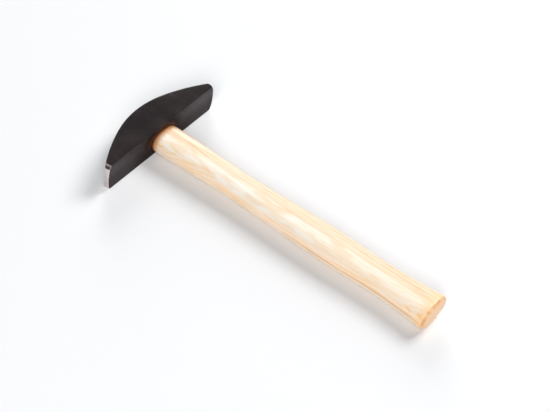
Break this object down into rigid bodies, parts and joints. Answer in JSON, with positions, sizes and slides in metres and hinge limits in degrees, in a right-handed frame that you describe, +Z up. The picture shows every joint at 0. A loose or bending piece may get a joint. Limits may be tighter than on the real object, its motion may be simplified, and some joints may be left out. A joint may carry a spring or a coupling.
{
  "type": "scythe peening hammer",
  "caption": "Scythe peening hammer: a black half-moon steel head with a narrow bright peen at each end, wedged on a pale ash handle with a flared butt.",
  "frame": {"origin": "on the lower cheek of the head, below the middle of the eye", "axes": "+X runs along the handle from the head to the butt, +Y along the head from peen to peen, +Z up, out of the upper cheek, as the hammer lies"},
  "size_m": [0.3201, 0.143, 0.0285],
  "materials": {
    "head_steel": "black satin lacquer over forged steel, with ground bare steel on the two striking faces",
    "handle_ash": "clear satin lacquer over pale ash",
    "wedge_wood": "bare hardwood, trimmed flush",
    "wedge_steel": "plain turned steel"
  },
  "bodies": {
    "root": {"head": "head_steel", "handle": "handle_ash", "wooden_wedge": "wedge_wood", "ring_wedge": "wedge_steel"}
  },
  "joints": []
}
